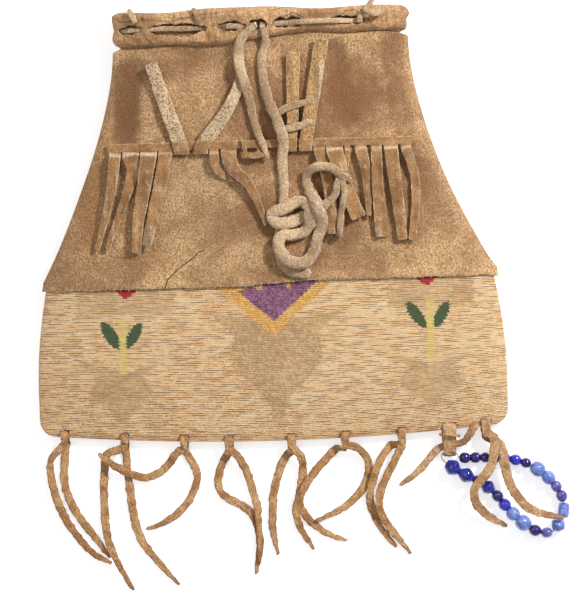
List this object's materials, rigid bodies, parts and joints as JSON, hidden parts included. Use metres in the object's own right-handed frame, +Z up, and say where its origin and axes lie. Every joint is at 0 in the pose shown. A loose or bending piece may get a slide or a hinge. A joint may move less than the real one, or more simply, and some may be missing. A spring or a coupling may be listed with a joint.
{
  "type": "flat bag",
  "caption": "Twined corn husk flat bag with a gathered buckskin upper, slit fringe, knotted drawstring, bottom thongs and a loop of blue glass beads.",
  "frame": {"origin": "on the table, on the flat back of the woven pocket, under the middle of its width", "axes": "+X to the bag's right as seen from above, +Y towards the mouth, +Z up from the table, out of the bag's front"},
  "size_m": [0.3445, 0.3836, 0.0361],
  "materials": {
    "husk": "twined corn husk, matt",
    "buckskin": "smoked buckskin, suede side out",
    "casing": "smoked buckskin, suede side out",
    "thong": "cut hide, matt",
    "lace": "twisted pale hide, matt",
    "glass": "polished glass",
    "sinew": "matt thread"
  },
  "bodies": {
    "root": {"husk_pocket": "husk", "hide_upper": "buckskin", "mouth_casing": "casing", "upper_fringe": "buckskin", "drawstring": "lace", "knot_thong": "lace", "tail_tie": "lace", "rim_tie": "lace", "left_lace_tip": "lace", "edge_knot_under": "lace", "edge_knot_over": "lace", "thong_1": "thong", "thong_2": "thong", "thong_3": "thong", "thong_4": "thong", "thong_5": "thong", "thong_6": "thong", "thong_7": "thong", "thong_8": "thong", "hanger_thong": "thong", "bead_hanger": "thong", "hanger_tie": "thong", "bead_string": "sinew", "bead_01": "glass", "bead_02": "glass", "bead_03": "glass", "bead_04": "glass", "bead_05": "glass", "bead_06": "glass", "bead_07": "glass", "bead_08": "glass", "bead_09": "glass", "bead_10": "glass", "bead_11": "glass", "bead_12": "glass", "bead_13": "glass", "bead_14": "glass", "bead_15": "glass", "bead_16": "glass", "bead_17": "glass", "bead_18": "glass", "bead_19": "glass", "bead_20": "glass", "bead_21": "glass", "bead_22": "glass", "bead_23": "glass"}
  },
  "joints": []
}
